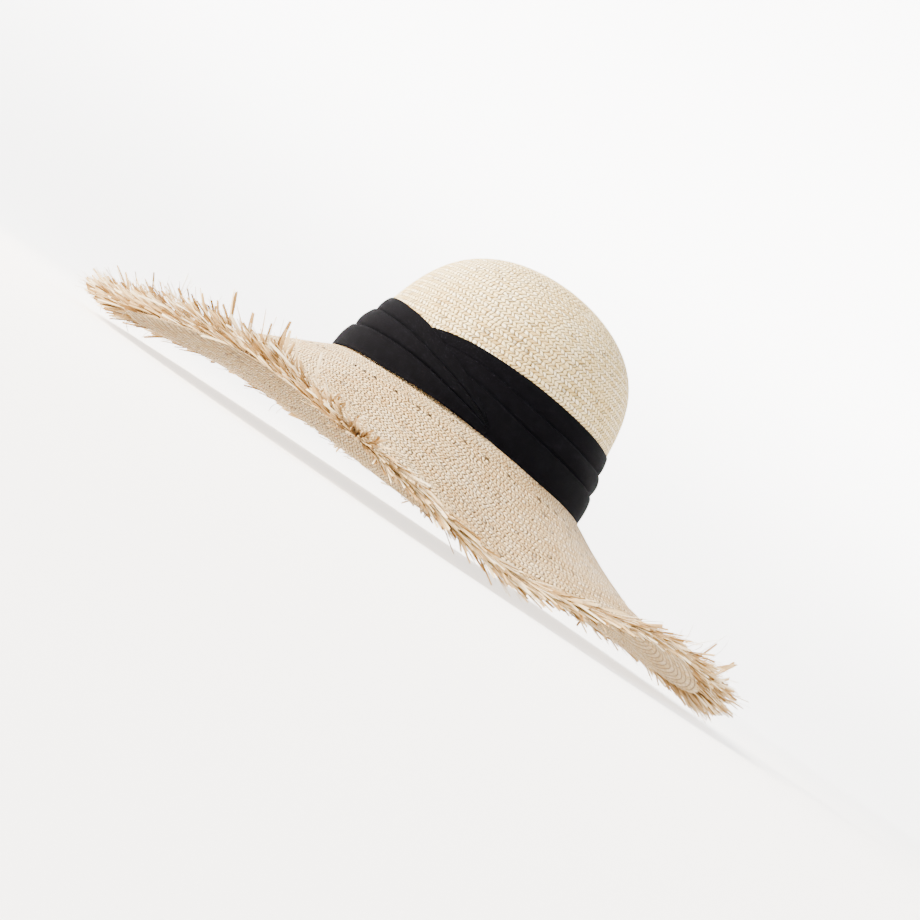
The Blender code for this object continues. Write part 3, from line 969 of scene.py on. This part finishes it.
def white_paper():
    """Matt white paper, without shine: the floor glows evenly, and the wall most behind the hat."""
    material, tree, shader = new_material("white_paper", {"Roughness": 0.95, "Specular IOR Level": 0.1})
    shader.inputs["Base Color"].default_value = srgb("f6f5f5")
    shader.inputs["Emission Color"].default_value = srgb("ffffff")
    body = node(tree, "TexCoord", out=3)
    height = node(tree, "SeparateXYZ", {0: body}, out=2)
    rising = {"Value": height, "From Max": 0.9, "To Min": 0.0}
    raised = node(tree, "MapRange", rising, interpolation_type="SMOOTHSTEP")
    bright = {0: body, 1: tuple(toward(WALL_GLOW_AZIMUTH, 0))}
    distance = node(tree, "VectorMath", bright, out=1, operation="DOT_PRODUCT")
    growing = {"Value": distance, "From Min": 0.2, "From Max": 2.3, "To Min": 0.25, "To Max": 6.0}
    side = node(tree, "MapRange", growing, interpolation_type="SMOOTHSTEP")
    glow = node(tree, "Mix", {0: raised, 2: 1.7, 3: side}, out=0)
    tree.links.new(glow, shader.inputs["Emission Strength"])
    return material


def studio():
    """Pale floor, a key light from the upper left and a dim white sky.

    The floor is a profile turned round: flat, then a quarter circle up into an upright wall.
    """
    angle = np.linspace(0, math.pi / 2, 17)
    bend = np.stack([FLOOR_RADIUS + FLOOR_CURVE * np.sin(angle), FLOOR_CURVE * (1 - np.cos(angle))], -1)
    profile = np.concatenate([[[0.0, 0.0]], bend, [[FLOOR_RADIUS + FLOOR_CURVE, STAGE_HEIGHT]]])
    turn = np.linspace(0, 2 * math.pi, STAGE_SIDES, endpoint=False)
    radius = profile[:, :1]
    height = np.broadcast_to(profile[:, 1:], (len(profile), STAGE_SIDES))
    points = np.stack([radius * np.cos(turn), radius * np.sin(turn), height], -1).reshape(-1, 3)
    i, j = pairs(np.arange(len(profile) - 1), np.arange(STAGE_SIDES))
    here = i * STAGE_SIDES
    above = here + STAGE_SIDES
    beside = (j + 1) % STAGE_SIDES
    faces = np.stack([here + j, above + j, above + beside, here + beside], -1)
    mesh = bpy.data.meshes.new("floor")
    mesh.from_pydata(points.tolist(), [], faces.tolist())
    mesh.shade_smooth()
    mesh.materials.append(white_paper())
    floor = bpy.data.objects.new("floor", mesh)
    bpy.context.scene.collection.objects.link(floor)
    merge_poles(floor)

    data = bpy.data.lights.new("key", "AREA")
    data.size = KEY_SIZE
    data.energy = KEY_POWER
    data.color = srgb("fff3e0")[:3]
    back = toward(KEY_AZIMUTH, KEY_ELEVATION)
    key = bpy.data.objects.new("key", data)
    key.rotation_mode = "QUATERNION"
    key.location = KEY_AIM + back * KEY_DISTANCE
    key.rotation_quaternion = back.to_track_quat("Z", "Y")
    bpy.context.scene.collection.objects.link(key)

    sky = bpy.data.worlds.new("sky")
    sky.use_nodes = True
    background = sky.node_tree.nodes["Background"]
    background.inputs["Color"].default_value = srgb("ffffff")
    background.inputs["Strength"].default_value = SKY_STRENGTH
    bpy.context.scene.world = sky


camera()
studio()
crown()
brim()
band()
fringe()
